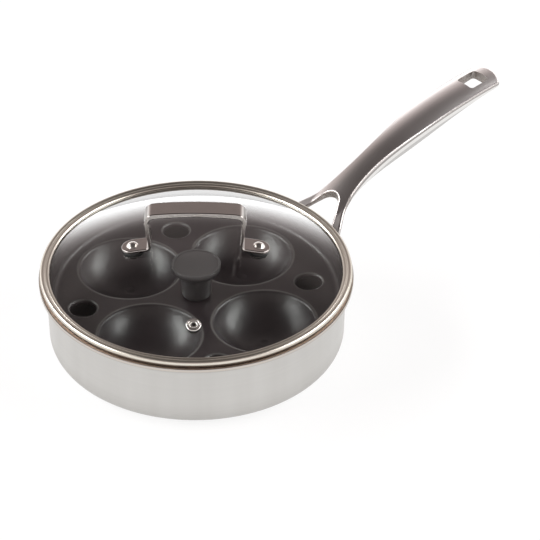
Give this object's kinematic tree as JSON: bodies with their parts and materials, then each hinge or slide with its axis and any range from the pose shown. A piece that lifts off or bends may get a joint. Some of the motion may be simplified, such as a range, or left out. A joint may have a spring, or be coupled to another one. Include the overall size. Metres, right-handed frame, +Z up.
{
  "type": "egg poacher pan",
  "caption": "Shallow steel pan with a forked handle, a drop-in tray of egg cups with a knob, and a domed glass lid with a bow handle and a steam vent.",
  "frame": {"origin": "centre of the pan's flat base, on the surface that it stands on", "axes": "+Z up, +X from the pan's centre along its handle, +Y to the left seen from the pan towards the handle's end"},
  "size_m": [0.3934, 0.214, 0.1073],
  "materials": {
    "pan_steel": "satin brushed round the wall, polished lip",
    "pan_core": "as rolled, closed in between the plies",
    "pan_inner_steel": "satin",
    "handle_steel": "cast, polished top face and satin sides",
    "rivet_steel": "polished",
    "tray_coating": "dark grey non-stick coating, satin",
    "knob_plastic": "black heat-proof plastic, matt",
    "insert_brass": "plain turned",
    "fastener_steel": "plain",
    "lid_glass": "clear tempered glass",
    "band_steel": "rolled and polished",
    "bow_steel": "polished",
    "gasket_rubber": "dark heat-proof rubber"
  },
  "bodies": {
    "pan": {"pan_outer_ply": "pan_steel", "pan_core_ply": "pan_core", "pan_inner_ply": "pan_inner_steel", "pan_handle": "handle_steel", "handle_rivets": "rivet_steel"},
    "tray": {"poacher_tray": "tray_coating", "knob_grip": "knob_plastic", "knob_nut_insert": "insert_brass", "knob_screw": "fastener_steel", "knob_washer": "fastener_steel"},
    "lid": {"lid_glass": "lid_glass", "lid_rim_band": "band_steel", "lid_handle": "bow_steel", "lid_handle_rivets": "rivet_steel", "lid_upper_gaskets": "gasket_rubber", "lid_lower_gaskets": "gasket_rubber", "lid_backing_washers": "fastener_steel", "vent_eyelet": "band_steel", "vent_gasket": "gasket_rubber"}
  },
  "joints": [
    {"name": "tray_lift", "type": "slide", "parent": "pan", "child": "tray", "axis": [0, 0, 1], "range_m": [0, 0.08]},
    {"name": "lid_lift", "type": "slide", "parent": "tray", "child": "lid", "axis": [0, 0, 1], "range_m": [0, 0.08]}
  ]
}
